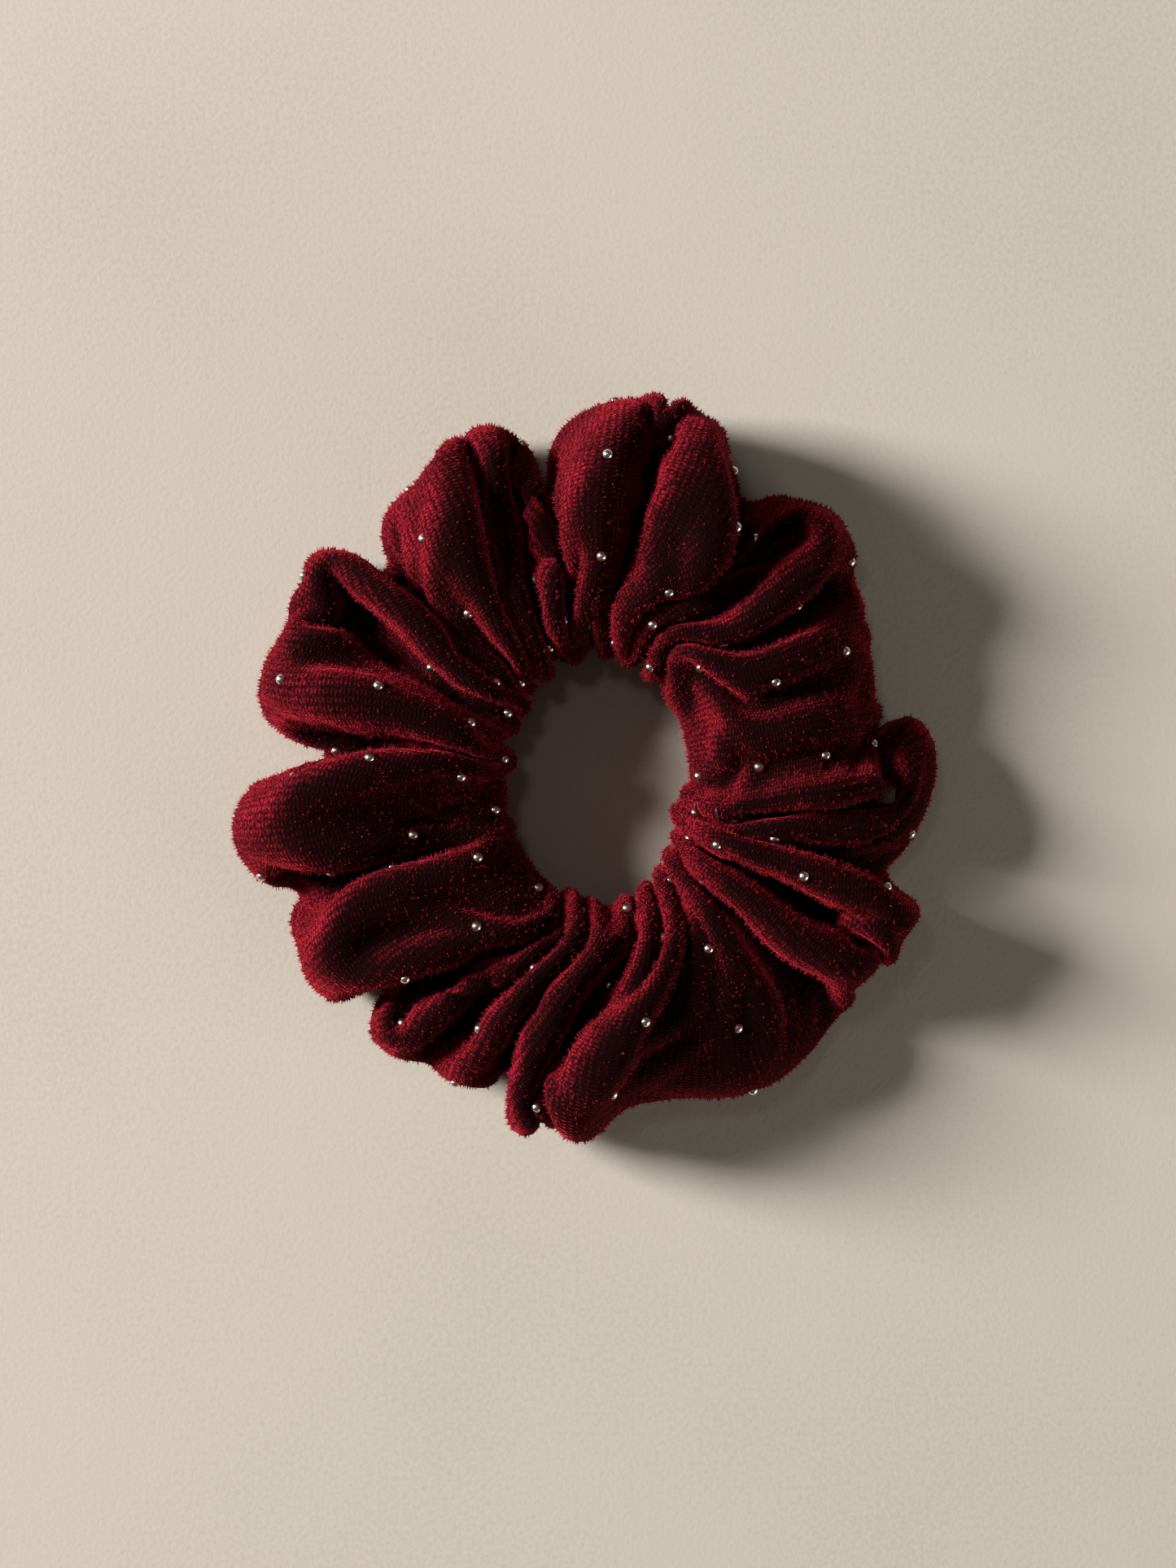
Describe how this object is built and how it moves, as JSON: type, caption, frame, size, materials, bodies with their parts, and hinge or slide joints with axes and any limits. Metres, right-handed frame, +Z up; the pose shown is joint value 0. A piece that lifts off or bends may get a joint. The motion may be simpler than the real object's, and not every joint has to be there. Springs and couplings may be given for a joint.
{
  "type": "scrunchie",
  "caption": "Gathered velvet scrunchie with small silver dome studs over a ring of flat elastic, lying flat, the ring stretching open on a sprung slide.",
  "frame": {"origin": "on the floor under the middle of the bounding box, the scrunchie lying flat", "axes": "+Z up from the floor through the hair hole, +Y along the longer side of the ring, +X towards the closing seam, the way the ring is pulled open"},
  "size_m": [0.1, 0.1064, 0.028],
  "materials": {
    "velvet": "wine-red stretch velvet, short pile",
    "elastic": "flat braided elastic",
    "thread": "wine-red polyester thread",
    "elastic_thread": "pale polyester thread",
    "stud_metal": "bright silver dome"
  },
  "bodies": {
    "left_half": {"cover_left": "velvet", "elastic_left": "elastic", "long_seam_left": "thread", "studs_left": "stud_metal"},
    "right_half": {"cover_right": "velvet", "elastic_right": "elastic", "long_seam_right": "thread", "studs_right": "stud_metal", "tucked_end": "velvet", "closing_seam_stitches": "thread", "elastic_join_stitches": "elastic_thread"}
  },
  "joints": [
    {"name": "ring_stretch", "type": "slide", "parent": "left_half", "child": "right_half", "axis": [1, 0, 0], "range_m": [0, 0.06], "stiffness_N_per_m": 80}
  ]
}
